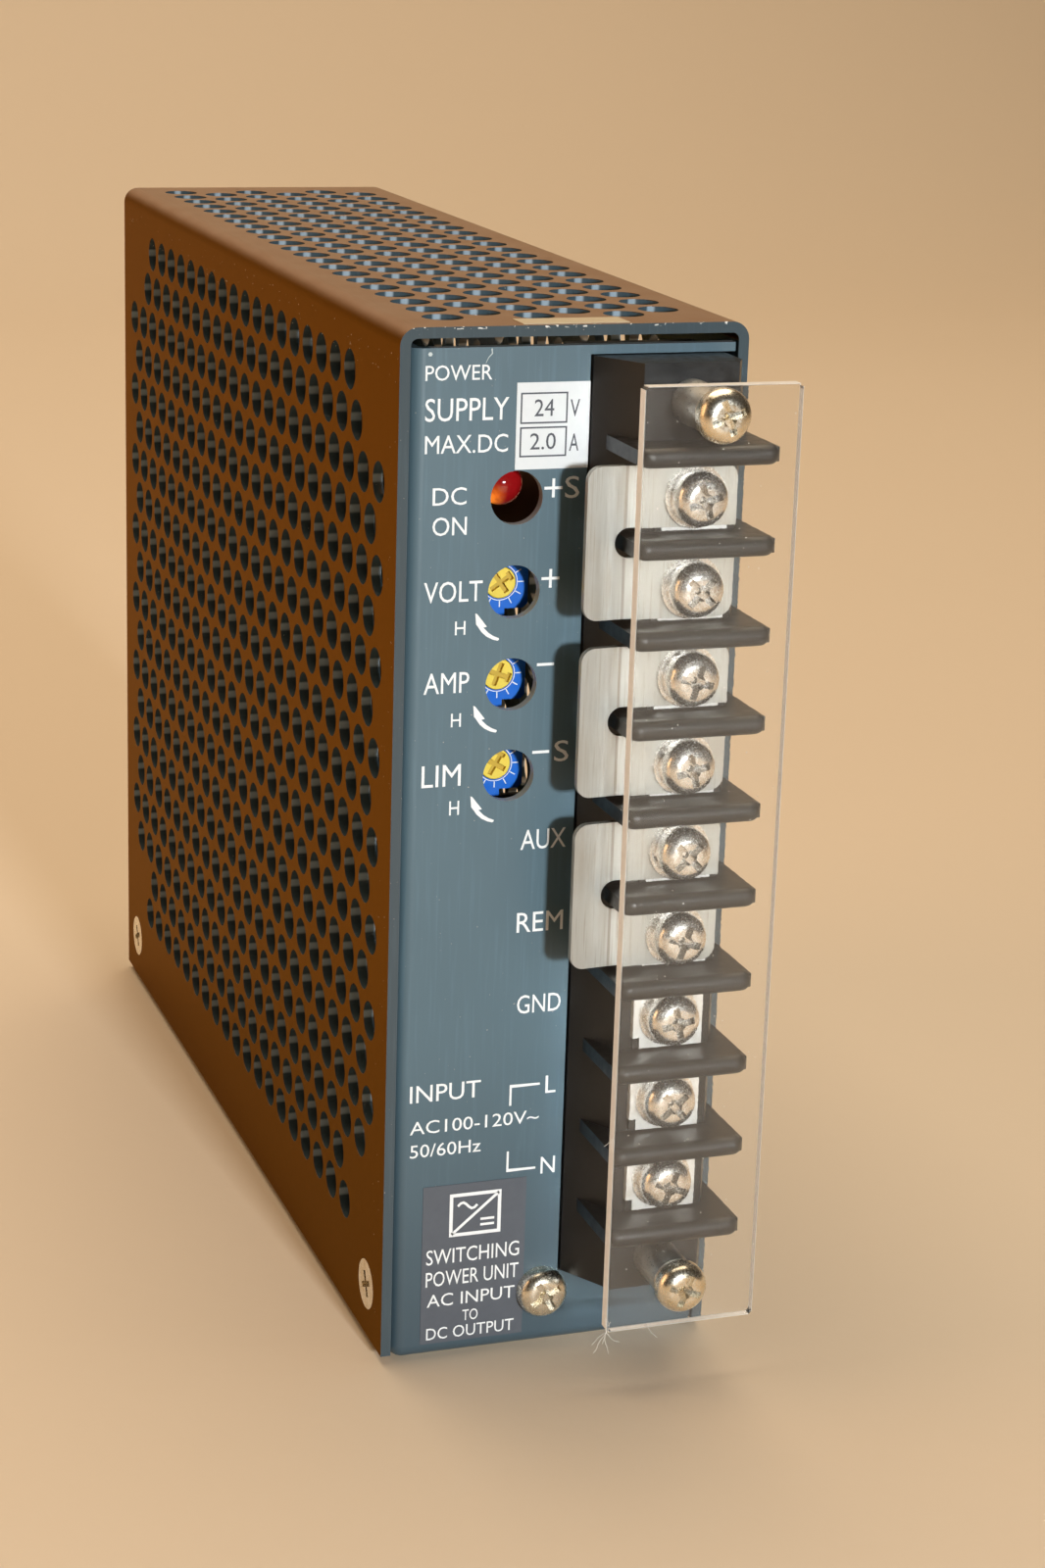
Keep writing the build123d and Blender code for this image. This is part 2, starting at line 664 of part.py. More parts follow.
def transformer_coil():
    """The bobbin and its taped winding, round the core's centre leg."""
    coil = box((CORE_X[0] + 5.3, CORE_X[1] - 5.3), (2.0, 40.0), (55.8, 74.2))
    coil = fillet(coil.edges().filter_by(Axis.X), 2.5)
    coil -= box(CORE_X, (CORE_Y[0] - 0.2, CORE_Y[1] + 0.2), (60.8, 69.2))
    for foot_y in ((2.4, 5.2), (36.8, 39.6)):
        coil += box((BOARD_X[1], CORE_X[0] + 5.4), foot_y, (57.0, 73.0))
    return coil


def output_choke():
    core = ring_core(OUT_CHOKE, OUT_CHOKE_R, OUT_CHOKE_X)
    turns = winding(OUT_CHOKE, OUT_CHOKE_R, OUT_CHOKE_X, 15, [(10, 350)], 0.45)
    return group([core] + turns)


def output_capacitors():
    places = [(-43.0, 98.0), (-28.5, 98.0), (-14.0, 98.0)]
    return group([can(place, 6.3, 22.0) for place in places])


def small_parts():
    """Integrated circuits, film capacitors, resistors and small cans."""
    pieces = []
    for y, z in ((12.0, 100.0), (26.0, 92.0)):
        pieces.append(box((BOARD_X[1] + 0.5, -9.0), (y - 5, y + 5), (z - 3.2, z + 3.2)))
    for y, z in ((-12.0, 66.0), (-12.0, 76.0), (34.0, 104.0)):
        pieces.append(can((y, z), 3.1, 11.0))
    for y, z in ((0.0, 88.0), (-50.0, 58.0), (-18.0, 86.0)):
        film = box((BOARD_X[1], -4.0), (y - 4.5, y + 4.5), (z - 2.0, z + 2.0))
        pieces.append(fillet(film.edges().group_by(Axis.X)[-1], 0.6))
    for step in range(5):
        y = 14.0 + 6.0 * step
        pieces.append(rod("z", 38.0, 44.5, 1.3, (BOARD_X[1] + 1.6, y)))
    return group(pieces)


# ---------------------------------------------------------------- rail clip
def rail_bracket():
    body = box((-CLIP_X, CLIP_X), (REAR_Y, RAIL_SEAT_Y), CLIP_Z)
    # the fixed hook over the rail's upper flange
    body += box((-CLIP_X, CLIP_X), (REAR_Y, CLIP_BACK_Y), (RAIL_Z[1] + 0.2, CLIP_Z[1]))
    lip_y = (RAIL_SEAT_Y + RAIL_FLANGE, CLIP_BACK_Y)
    body += box((-CLIP_X, CLIP_X), lip_y, (RAIL_Z[1] - 2.0, RAIL_Z[1] + 1.0))
    body = fillet(body.edges().filter_by(Axis.Y), 1.0)
    wide = LATCH_W + LATCH_GAP
    neck = LATCH_NECK + LATCH_GAP
    slot_low = CLIP_Z[0] - 1
    body -= box((-wide, wide), (CLIP_FLOOR, GUIDE_Y), (slot_low, LATCH_Z[1] + 5))
    body -= box((-neck, neck), (CLIP_FLOOR, RAIL_SEAT_Y + 1), (slot_low, RAIL_Z[0] + 3))
    # the fixed post that the spring pushes against
    body += box((-1.8, 1.8), (CLIP_FLOOR - 0.5, RAIL_SEAT_Y - 0.4), (26.0, SPRING_Z[0] - 0.05))
    for side in (-1, 1):
        at = (side * CLIP_SCREW[0], CLIP_SCREW[1])
        body -= rod("y", REAR_Y - 1, CLIP_BACK_Y + 1, SCREW_R + 0.15, at)
        body -= rod("y", CLIP_SCREW_SEAT, CLIP_BACK_Y + 1, HEAD_R + 0.3, at)
    return body


def rail_latch():
    front = CLIP_FLOOR + 0.1
    wide = (-LATCH_W, LATCH_W)
    narrow = (-LATCH_NECK, LATCH_NECK)
    under_rail = RAIL_Z[0] - 0.2
    latch = box(wide, (front, GUIDE_Y - 0.1), LATCH_Z)
    latch += box(narrow, (front, RAIL_SEAT_Y - 0.1), (LATCH_Z[0], under_rail))
    latch += box(wide, (RAIL_SEAT_Y + 0.3, CLIP_BACK_Y), (BEAK_LOW, under_rail))
    latch += box(narrow, (front, CLIP_BACK_Y), (BEAK_LOW, under_rail))
    lip_y = (RAIL_SEAT_Y + RAIL_FLANGE, CLIP_BACK_Y)
    lip = box(wide, lip_y, (BEAK_LOW + 3.5, RAIL_Z[0] + 2.2))
    lead_in = lip.edges().filter_by(Axis.X).group_by(Axis.Y)[-1].sort_by(Axis.Z)[-1]
    latch += chamfer(lead_in, 1.4)
    latch -= box((-2.1, 2.1), (front - 1, RAIL_SEAT_Y + 1), (25.7, SPRING_Z[1] + 0.1))
    latch -= box((-2.6, 2.6), (front - 1, RAIL_SEAT_Y + 1), (11.0, 13.6))
    return latch


def latch_spring():
    turns = 8
    height = SPRING_Z[1] - SPRING_Z[0] - 2 * WIRE_R
    coil = Helix(height / turns, height, SPRING_R)
    profile = Plane(coil @ 0, z_dir=coil % 0) * Circle(WIRE_R)
    wire = sweep(profile, path=coil)
    middle_y = (CLIP_FLOOR + RAIL_SEAT_Y) / 2
    return Pos(0, middle_y, SPRING_Z[0] + WIRE_R) * wire


def bracket_screws():
    screws = []
    for side in (-1, 1):
        place = Pos(side * CLIP_SCREW[0], CLIP_SCREW_SEAT, CLIP_SCREW[1]) * Rot(-90, 0, 0)
        screws.append(place * screw(5.0))
    return group(screws)


# ---------------------------------------------------------------- all nodes
def build():
    """Every node's shape, by name."""
    makers = [
        perforated_cover,
        chassis,
        terminal_block,
        terminal_seats,
        clear_cover,
        cover_standoffs,
        panel_screw,
        side_screws,
        circuit_board,
        board_spacers,
        board_screws,
        insulating_sheet,
        indicator_led,
        trimmer_bodies,
        fuse,
        fuse_clips,
        choke_core,
        choke_winding,
        line_capacitor,
        bridge_rectifier,
        bulk_capacitors,
        primary_heatsink,
        secondary_heatsink,
        transformer_core,
        transformer_coil,
        output_choke,
        output_capacitors,
        small_parts,
        rail_bracket,
        rail_latch,
        latch_spring,
        bracket_screws,
    ]
    parts = {make.__name__: make() for make in makers}
    parts["switch_transistor"] = power_package(HEATSINK_Y, 30.0)
    parts["output_diode"] = power_package(HEATSINK_Y, 89.0)
    for pair in range(JUMPED // 2):
        parts[f"jumper_{pair + 1}"] = jumper(pair)
    for number in range(TERMINALS):
        parts[f"terminal_screw_{number + 1}"] = terminal_screw(number)
        parts[f"terminal_washers_{number + 1}"] = terminal_washers(number)
    for which, name in enumerate(("top", "bottom")):
        parts[f"clear_cover_screw_{name}"] = clear_cover_screw(which)
    for number in (1, 2, 3):
        parts[f"trimmer_rotor_{number}"] = trimmer_rotor(number)
    return parts


os.makedirs("parts", exist_ok=True)
for node, shape in build().items():
    export_step(shape, f"parts/{node}.step")
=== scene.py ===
"""Looks for an enclosed switching power supply with a screw terminal block.

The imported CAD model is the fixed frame. This script gives every CAD node its
material and adds what the CAD leaves out: printed legends, labels, trimmer
scales, the latch spring as a real coil, scuffs and dust.
Lengths are in metres; MM turns a drawing's millimetres into metres.
"""

import math
import random

import bmesh
import bpy
from mathutils import Matrix, Vector


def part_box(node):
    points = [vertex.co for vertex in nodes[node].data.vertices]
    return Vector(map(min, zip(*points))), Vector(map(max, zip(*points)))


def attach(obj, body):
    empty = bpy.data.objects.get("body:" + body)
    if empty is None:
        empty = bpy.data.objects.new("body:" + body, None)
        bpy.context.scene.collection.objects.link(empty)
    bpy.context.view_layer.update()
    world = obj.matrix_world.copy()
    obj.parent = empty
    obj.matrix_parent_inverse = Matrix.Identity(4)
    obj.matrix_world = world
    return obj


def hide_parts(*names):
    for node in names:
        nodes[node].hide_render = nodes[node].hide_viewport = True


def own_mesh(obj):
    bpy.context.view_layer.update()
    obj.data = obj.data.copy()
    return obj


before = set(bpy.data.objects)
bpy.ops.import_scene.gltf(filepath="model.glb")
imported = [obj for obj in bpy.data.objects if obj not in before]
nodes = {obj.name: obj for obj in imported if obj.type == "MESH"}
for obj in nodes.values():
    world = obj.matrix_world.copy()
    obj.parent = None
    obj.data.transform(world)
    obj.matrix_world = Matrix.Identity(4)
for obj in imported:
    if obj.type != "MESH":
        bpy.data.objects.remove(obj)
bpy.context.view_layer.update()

MM = 0.001
case_low, case_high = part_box("perforated_cover")
panel_low, panel_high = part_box("chassis")
clear_low, clear_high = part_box("clear_cover")
CASE_FRONT = case_low.y
CASE_TOP = case_high.z
PANEL_FACE = panel_low.y


# ---------------------------------------------------------------- materials
class Finish:
    """One Principled material. Patterns are laid out in the piece's own coordinates."""

    def __init__(self, name, **uniform):
        self.material = bpy.data.materials.new(name)
        self.material.use_nodes = True
        self.tree = self.material.node_tree
        self.shader = self.tree.nodes["Principled BSDF"]
        self.output = self.tree.nodes["Material Output"]
        self.here = self.add("ShaderNodeTexCoord")
        self.relief = None
        for socket, value in uniform.items():
            self.set(socket.replace("_", " ").title().replace("Ior", "IOR"), value)

    def add(self, kind, sockets=None, **settings):
        node = self.tree.nodes.new(kind)
        for key, value in settings.items():
            setattr(node, key, value)
        for key, value in (sockets or {}).items():
            self.feed(node.inputs[key], value)
        return node

    def feed(self, socket, value):
        if isinstance(value, bpy.types.NodeSocket):
            self.tree.links.new(value, socket)
        elif isinstance(value, tuple) and len(value) == 3 and socket.type == "RGBA":
            socket.default_value = (*value, 1.0)
        else:
            socket.default_value = value

    def set(self, socket, value):
        self.feed(self.shader.inputs[socket], value)

    def math(self, operation, a, b=0.0):
        return self.add("ShaderNodeMath", {0: a, 1: b}, operation=operation).outputs[0]

    def part(self, output, index):
        """One component of a texture coordinate."""
        return self.add("ShaderNodeSeparateXYZ", {0: self.here.outputs[output]}).outputs[index]

    def axis(self, index):
        """Where the point lies along one axis, in metres."""
        return self.part("Object", index)

    def facing(self, index):
        """How far the surface faces along one axis, either way: 0 to 1."""
        return self.math("ABSOLUTE", self.part("Normal", index))

    def upward(self):
        """1 where the surface faces up, 0 where it stands or faces down."""
        return self.ramp(self.part("Normal", 2), 0.3, 0.9)

    def spread(self, size, stretch, seed):
        """The piece's coordinates, in pattern sizes. A stretch above 1 lengthens the pattern."""
        scale = tuple(1.0 / (size * s) for s in stretch)
        scaled = self.add("ShaderNodeVectorMath", {0: self.here.outputs["Object"], 1: scale},
                          operation="MULTIPLY")
        return self.add("ShaderNodeVectorMath", {0: scaled.outputs[0], 1: (seed, seed, seed)},
                        operation="ADD").outputs[0]

    def noise(self, size, detail=2.0, stretch=(1, 1, 1), seed=0.0):
        vector = self.spread(size, stretch, seed)
        return self.add("ShaderNodeTexNoise",
                        {"Vector": vector, "Scale": 1.0, "Detail": detail}).outputs[0]

    def cells(self, size, stretch=(1, 1, 1), seed=0.0):
        vector = self.spread(size, stretch, seed)
        return self.add("ShaderNodeTexVoronoi", {"Vector": vector, "Scale": 1.0}).outputs[0]

    def ramp(self, value, low, high):
        """0 at low, 1 at high, smooth between. low may be above high."""
        return self.level(value, 0.0, 1.0, low, high, "SMOOTHSTEP")

    def level(self, value, a, b, low=0.0, high=1.0, how="LINEAR"):
        flip = low > high
        if flip:
            low, high, a, b = high, low, b, a
        return self.add("ShaderNodeMapRange",
                        {0: value, 1: low, 2: high, 3: a, 4: b},
                        interpolation_type=how).outputs[0]

    def mix(self, factor, a, b):
        node = self.add("ShaderNodeMix", data_type="RGBA")
        self.feed(node.inputs[0], factor)
        self.feed(node.inputs[6], a)
        self.feed(node.inputs[7], b)
        return node.outputs[2]

    def close_to(self, index, value, reach):
        """1 at a plane across one axis, 0 beyond reach from it."""
        gap = self.math("ABSOLUTE", self.math("SUBTRACT", self.axis(index), value))
        return self.ramp(gap, reach, reach * 0.5)

    def bump(self, height, depth):
        sockets = {"Height": height, "Distance": depth}
        if self.relief:
            sockets["Normal"] = self.relief
        self.relief = self.add("ShaderNodeBump", sockets).outputs[0]
        self.set("Normal", self.relief)
        return self


def tint(color, factor):
    return tuple(min(1.0, c * factor) for c in color)


DUST = (0.62, 0.55, 0.46)


def satin_paint(name, color, seed):
    """Satin powder coat on sheet steel: orange peel, drawn streaks, specks of dust and rubbed spots."""
    f = Finish(name)
    tone = f.mix(f.noise(16 * MM, 3, seed=seed), tint(color, 0.92), tint(color, 1.08))
    drawn = f.noise(0.5 * MM, 2, (1, 1, 22), seed + 3)
    tone = f.mix(f.ramp(drawn, 0.50, 0.72), tone, tint(color, 1.12))
    speck = f.ramp(f.noise(0.36 * MM, 1, seed=seed + 7), 0.78, 0.83)
    tone = f.mix(f.math("MULTIPLY", speck, 0.5), tone, DUST)
    f.bump(f.noise(0.5 * MM, 2, seed=seed), 0.004 * MM)
    return f, tone


def chassis_paint():
    """Slate paint, darker towards the base as painted shade, with the cut edges of the panel painted pale: thin
    paint there and partly a painted highlight.
    """
    f, tone = satin_paint("chassis_paint", (0.088, 0.148, 0.185), 11.0)
    # Painted shade: the paint darkens towards the base.
    low = f.ramp(f.axis(2), 45 * MM, 0.0)
    tone = f.mix(low, tone, (0.056, 0.090, 0.114))
    # The cut edges are painted pale grey: thin paint on bare steel, and partly a painted highlight where the light
    # catches them.
    outer = f.ramp(f.axis(1), PANEL_FACE + 1.5 * MM, PANEL_FACE + 1.3 * MM)
    bare_edge_and_highlight = f.math("MULTIPLY", outer, f.ramp(f.facing(1), 0.7, 0.3))
    bare_edge_and_highlight = f.math("MULTIPLY", bare_edge_and_highlight, f.ramp(f.axis(0), panel_low.x + 2 * MM, panel_low.x + 2.5 * MM))
    f.set("Base Color", f.mix(bare_edge_and_highlight, tone, (0.36, 0.39, 0.40)))
    f.set("Roughness", f.level(f.noise(3 * MM, 3, seed=13.0), 0.32, 0.44))
    return f


def cover_paint():
    """Bronze-brown outside, partly its own tone and partly a painted warm reflection, lighter on top; slate on the
    cut front edge and in the walls of the holes, with a painted highlight on the walls and pale chips along the
    front top edge that are also a painted edge highlight.
    """
    f, slate = satin_paint("cover_paint", (0.060, 0.090, 0.108), 0.0)
    side = f.ramp(f.math("ABSOLUTE", f.axis(0)), case_high.x - 0.10 * MM, case_high.x - 0.03 * MM)
    roof = f.ramp(f.axis(2), CASE_TOP - 0.10 * MM, CASE_TOP - 0.03 * MM)
    bend_x = f.ramp(f.math("ABSOLUTE", f.axis(0)), case_high.x - 2.2 * MM, case_high.x - 2.0 * MM)
    bend = f.math("MULTIPLY", bend_x, f.ramp(f.axis(2), CASE_TOP - 2.2 * MM, CASE_TOP - 2.0 * MM))
    outside = f.math("MAXIMUM", f.math("MAXIMUM", side, roof), bend)
    outside = f.math("MULTIPLY", outside, f.ramp(f.facing(1), 0.8, 0.5))
    height = f.ramp(f.axis(2), 0.0, CASE_TOP)
    # Painted reflection: the bronze-brown outside is partly the paint's own tone and partly a painted warm
    # reflection of the surroundings, lighter towards the top.
    bronze_reflection_and_dust = f.mix(height, (0.100, 0.058, 0.026), (0.135, 0.068, 0.026))
    # Faces that look up are lighter still: a painted reflection of the light from above.
    bronze_reflection_and_dust = f.mix(f.upward(), bronze_reflection_and_dust, (0.20, 0.085, 0.032))
    bronze_reflection_and_dust = f.mix(f.math("MULTIPLY", f.noise(1.1 * MM, 3, seed=5.0), 0.30), bronze_reflection_and_dust, (0.17, 0.090, 0.040))
    dust = f.math("MULTIPLY", f.upward(), f.level(f.noise(5 * MM, 4), 0.08, 0.24))
    bronze_reflection_and_dust = f.mix(dust, bronze_reflection_and_dust, DUST)
    # Pale chips along the front top edge: worn paint, and also a painted highlight along that edge.
    rim = f.math("MULTIPLY", f.close_to(1, CASE_FRONT, 0.35 * MM), f.close_to(2, CASE_TOP, 0.35 * MM))
    chip_and_edge_highlight = f.math("MULTIPLY", rim, f.ramp(f.noise(0.7 * MM, 2, seed=1.0), 0.60, 0.65))
    # Painted highlight: the hole walls that face the front are painted light bluish slate in place of the lamp's
    # glint.
    painted_wall_shading = f.math("MULTIPLY", f.ramp(f.facing(1), 0.965, 0.998), f.ramp(f.axis(1), CASE_FRONT, CASE_FRONT + 1 * MM))
    slate = f.mix(painted_wall_shading, slate, (0.36, 0.45, 0.52))
    f.set("Base Color", f.mix(chip_and_edge_highlight, f.mix(outside, slate, bronze_reflection_and_dust), (0.80, 0.80, 0.76)))
    f.set("Metallic", f.math("MULTIPLY", outside, f.level(f.upward(), 1.0, 0.2)))
    f.set("Roughness", f.level(outside, 0.22, 0.38))
    f.set("Specular Tint", (0.78, 0.54, 0.36))
    return f


def metal(name, color, stain, smooth, rough, grain=(1, 1, 1), size=2.2 * MM):
    """Plated metal: a tone that drifts towards a stain, uneven gloss and fine marks along the grain."""
    f = Finish(name, metallic=1.0)
    patch = f.ramp(f.noise(size, 4, seed=2.0), 0.42, 0.72)
    lines = f.noise(0.22 * MM, 3, grain, 4.0)
    tone = f.mix(patch, color, stain)
    f.set("Base Color", f.mix(f.ramp(lines, 0.45, 0.75), tone, tint(color, 0.86)))
    f.set("Roughness", f.level(lines, smooth, rough, 0.3, 0.7))
    return f.bump(lines, 0.004 * MM)


def moulded(name, color, other, smooth=0.36, rough=0.55, size=4 * MM, skin=0.006 * MM, dusty=0.25):
    """Moulded plastic: soft mottling, a fine mould texture and dust on what faces up."""
    f = Finish(name)
    tone = f.mix(f.noise(size, 4, seed=1.0), color, other)
    haze = f.math("MULTIPLY", f.upward(), f.level(f.noise(2.5 * MM, 4, seed=9.0), 0.0, dusty))
    speck = f.ramp(f.noise(0.30 * MM, 1, seed=6.0), 0.76, 0.80)
    haze = f.math("MAXIMUM", haze, f.math("MULTIPLY", speck, dusty))
    f.set("Base Color", f.mix(haze, tone, DUST))
    f.set("Roughness", f.level(f.noise(1.2 * MM, 3), smooth, rough, 0.3, 0.7))
    return f.bump(f.noise(0.28 * MM, 2), skin)


def clear_sheet():
    """Clear acrylic that lets lamps through, with saw marks on its cut edges."""
    f = Finish("clear_acrylic", transmission_weight=0.985, ior=1.49)
    f.set("Base Color", (0.97, 0.965, 0.95))
    side = f.math("MAXIMUM", f.close_to(0, clear_low.x, 0.10 * MM), f.close_to(0, clear_high.x, 0.10 * MM))
    end = f.math("MAXIMUM", f.close_to(2, clear_low.z, 0.10 * MM), f.close_to(2, clear_high.z, 0.10 * MM))
    sawn = f.math("MAXIMUM", side, end)
    f.set("Roughness", f.level(sawn, 0.03, 0.42))
    f.bump(f.noise(0.35 * MM, 2, (1, 9, 1)), 0.003 * MM)
    lamp = f.add("ShaderNodeLightPath").outputs["Is Shadow Ray"]
    through = f.add("ShaderNodeBsdfTransparent", {"Color": (0.81, 0.79, 0.77)})
    both = f.add("ShaderNodeMixShader", {0: lamp, 1: f.shader.outputs[0], 2: through.outputs[0]})
    f.feed(f.output.inputs["Surface"], both.outputs[0])
    return f


def red_lens():
    """Tinted epoxy lens, glowing orange near the chip on its lower left and dark elsewhere."""
    f = Finish("led_lens", roughness=0.10, coat_weight=0.5)
    low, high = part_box("indicator_led")
    middle = (low.z + high.z) / 2
    down = f.ramp(f.axis(2), middle + 0.6 * MM, middle - 1.6 * MM)
    out = f.ramp(f.axis(0), high.x - 2.6 * MM, high.x - 4.6 * MM)
    glow = f.math("MULTIPLY", down, out)
    glow = f.math("MULTIPLY", glow, f.level(f.noise(0.9 * MM, 2), 0.6, 1.3, 0.3, 0.7))
    body = f.mix(f.noise(1.2 * MM, 3), (0.16, 0.003, 0.004), (0.42, 0.010, 0.012))
    f.set("Base Color", body)
    f.set("Emission Color", f.mix(glow, (0.03, 0.0, 0.0), (1.0, 0.26, 0.02)))
    f.set("Emission Strength", 1.0)
    return f.bump(f.noise(2.0 * MM), 0.01 * MM)


def rotor_yellow():
    """Yellow rotor whose screwdriver slots are painted darker brown with depth, as painted shade."""
    f = Finish("rotor_yellow")
    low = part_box("trimmer_rotor_1")[0]
    tone = f.mix(f.noise(0.7 * MM, 3), (0.90, 0.62, 0.050), (0.97, 0.76, 0.11))
    # Painted shade: deeper into the slots the yellow turns dark brown.
    depth = f.ramp(f.axis(1), low.y + 0.12 * MM, low.y + 0.75 * MM)
    f.set("Base Color", f.mix(depth, tone, (0.52, 0.34, 0.03)))
    f.set("Roughness", f.level(f.noise(0.5 * MM), 0.38, 0.55))
    return f.bump(f.noise(0.4 * MM, 3), 0.02 * MM)


def board_green():
    """Solder mask over copper, with a sprinkle of tinned pads."""
    f = Finish("board_laminate")
    copper = f.ramp(f.noise(7 * MM, 1, (1, 1.8, 1)), 0.49, 0.51)
    mask = f.mix(copper, (0.012, 0.085, 0.032), (0.03, 0.16, 0.05))
    pad = f.ramp(f.cells(3.2 * MM, seed=3.0), 0.30, 0.26)
    f.set("Base Color", f.mix(pad, mask, (0.72, 0.70, 0.66)))
    f.set("Metallic", pad)
    f.set("Roughness", f.level(pad, 0.28, 0.4))
    return f.bump(copper, 0.04 * MM)


def wound_copper():
    """Enamelled turns round a ring whose axis lies along X."""
    f = Finish("copper_wire", metallic=0.85)
    low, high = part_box("choke_winding")
    centre = (low + high) / 2
    across = f.math("SUBTRACT", f.axis(1), centre.y)
    up = f.math("SUBTRACT", f.axis(2), centre.z)
    angle = f.math("ARCTAN2", up, across)
    turn = f.math("ABSOLUTE", f.math("SINE", f.math("MULTIPLY", angle, 34.0)))
    f.set("Base Color", f.mix(turn, (0.08, 0.025, 0.012), (0.40, 0.16, 0.06)))
    f.set("Roughness", f.level(f.noise(1 * MM), 0.25, 0.4))
    return f.bump(turn, 0.35 * MM)


def sleeved_can():
    """Shrink sleeve with a pale stripe, and the can's bare aluminium end."""
    f = Finish("capacitor_sleeve")
    end = f.close_to(0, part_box("bulk_capacitors")[1].x, 0.4 * MM)
    sleeve = f.mix(f.noise(5 * MM, 3), (0.13, 0.060, 0.034), (0.20, 0.095, 0.050))
    stripe = f.ramp(f.noise(9 * MM, 0, (6, 1, 1), 2.0), 0.60, 0.62)
    f.set("Base Color", f.mix(end, f.mix(stripe, sleeve, (0.60, 0.52, 0.40)), (0.72, 0.72, 0.73)))
    f.set("Metallic", end)
    f.set("Roughness", f.level(end, 0.26, 0.38))
    return f.bump(f.noise(2 * MM), 0.02 * MM)


def taped_coil():
    """Polyester tape wound over a coil, with its laps showing."""
    f = Finish("coil_tape")
    lap = f.math("ABSOLUTE", f.math("SINE", f.math("MULTIPLY", f.axis(2), math.pi / (3.2 * MM))))
    f.set("Base Color", f.mix(f.ramp(lap, 0.0, 0.25), (0.42, 0.28, 0.03), (0.82, 0.60, 0.10)))
    f.set("Roughness", f.level(f.noise(2 * MM), 0.28, 0.4))
    return f.bump(lap, 0.05 * MM)


def fuse_tube():
    """A glass tube whose ends are plated caps."""
    f = Finish("fuse_glass")
    low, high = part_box("fuse")
    middle = f.math("ABSOLUTE", f.math("SUBTRACT", f.axis(2), (low.z + high.z) / 2))
    cap = f.ramp(middle, 5.9 * MM, 6.1 * MM)
    f.set("Base Color", f.mix(cap, (0.30, 0.33, 0.32), (0.78, 0.76, 0.72)))
    f.set("Metallic", cap)
    f.set("Roughness", f.level(f.noise(2 * MM), 0.08, 0.22))
    return f.bump(f.noise(3 * MM), 0.01 * MM)


def strap_metal():
    """Dull plated strip with drawing marks up and down, and a darker brown line along its bend as painted shading.
    """
    f = Finish("strap_plate", metallic=0.7)
    drawn = f.noise(0.30 * MM, 3, (1, 1, 30), 4.0)
    tone = f.mix(f.ramp(f.noise(6 * MM, 4, (1, 1, 2), 2.0), 0.42, 0.78), (0.47, 0.47, 0.44), (0.38, 0.35, 0.30))
    tone = f.mix(f.ramp(drawn, 0.50, 0.75), tone, (0.37, 0.34, 0.29))
    # Painted shading: a darker brown line along the bend.
    painted_bend_shading = f.close_to(0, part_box("jumper_1")[0].x + 4.6 * MM, 0.22 * MM)
    f.set("Base Color", f.mix(f.math("MULTIPLY", painted_bend_shading, 0.5), tone, (0.16, 0.11, 0.07)))
    f.set("Roughness", f.level(drawn, 0.36, 0.52, 0.3, 0.7))
    return f.bump(drawn, 0.006 * MM)


def seat_metal():
    """Bright plated seats whose tails, inside the case, are painted nearly black as painted shade."""
    f = Finish("seat_plate", metallic=0.6)
    tone = f.mix(f.ramp(f.noise(3 * MM, 4, seed=2.0), 0.42, 0.72), (0.80, 0.81, 0.80), (0.62, 0.60, 0.56))
    # Painted shade: behind the panel face the seats turn nearly black.
    painted_shade_inside = f.ramp(f.axis(1), PANEL_FACE + 1 * MM, PANEL_FACE + 3 * MM)
    f.set("Base Color", f.mix(painted_shade_inside, tone, (0.060, 0.052, 0.045)))
    f.set("Roughness", f.level(f.noise(0.3 * MM, 3), 0.34, 0.50))
    return f.bump(f.noise(0.3 * MM, 3), 0.004 * MM)


def screw_metal():
    """Bright plated screws and washers, darker in the walls of the cross recess as painted shade."""
    f = Finish("screw_plate", metallic=0.95)
    first_low, first_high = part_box("terminal_screw_1")
    second_low, second_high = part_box("terminal_screw_2")
    middle = (first_low + first_high) / 2
    pitch = middle.z - (second_low.z + second_high.z) / 2
    across = f.math("SUBTRACT", f.axis(0), middle.x)
    up = f.math("PINGPONG", f.math("SUBTRACT", f.axis(2), middle.z), pitch / 2)
    radius = f.math("SQRT", f.math("ADD", f.math("MULTIPLY", across, across), f.math("MULTIPLY", up, up)))
    # Painted shade: the walls of the cross recess are darkened.
    painted_wall_shading = f.math("MULTIPLY", f.ramp(f.facing(1), 0.55, 0.25), f.ramp(radius, 2.3 * MM, 2.1 * MM))
    tone = f.mix(f.ramp(f.noise(1.3 * MM, 4, seed=2.0), 0.42, 0.72), (0.93, 0.92, 0.90), (0.74, 0.71, 0.66))
    f.set("Base Color", f.mix(painted_wall_shading, tone, (0.30, 0.27, 0.23)))
    f.set("Roughness", f.level(f.noise(0.22 * MM, 3), 0.18, 0.32, 0.3, 0.7))
    return f.bump(f.noise(0.22 * MM, 3), 0.004 * MM)


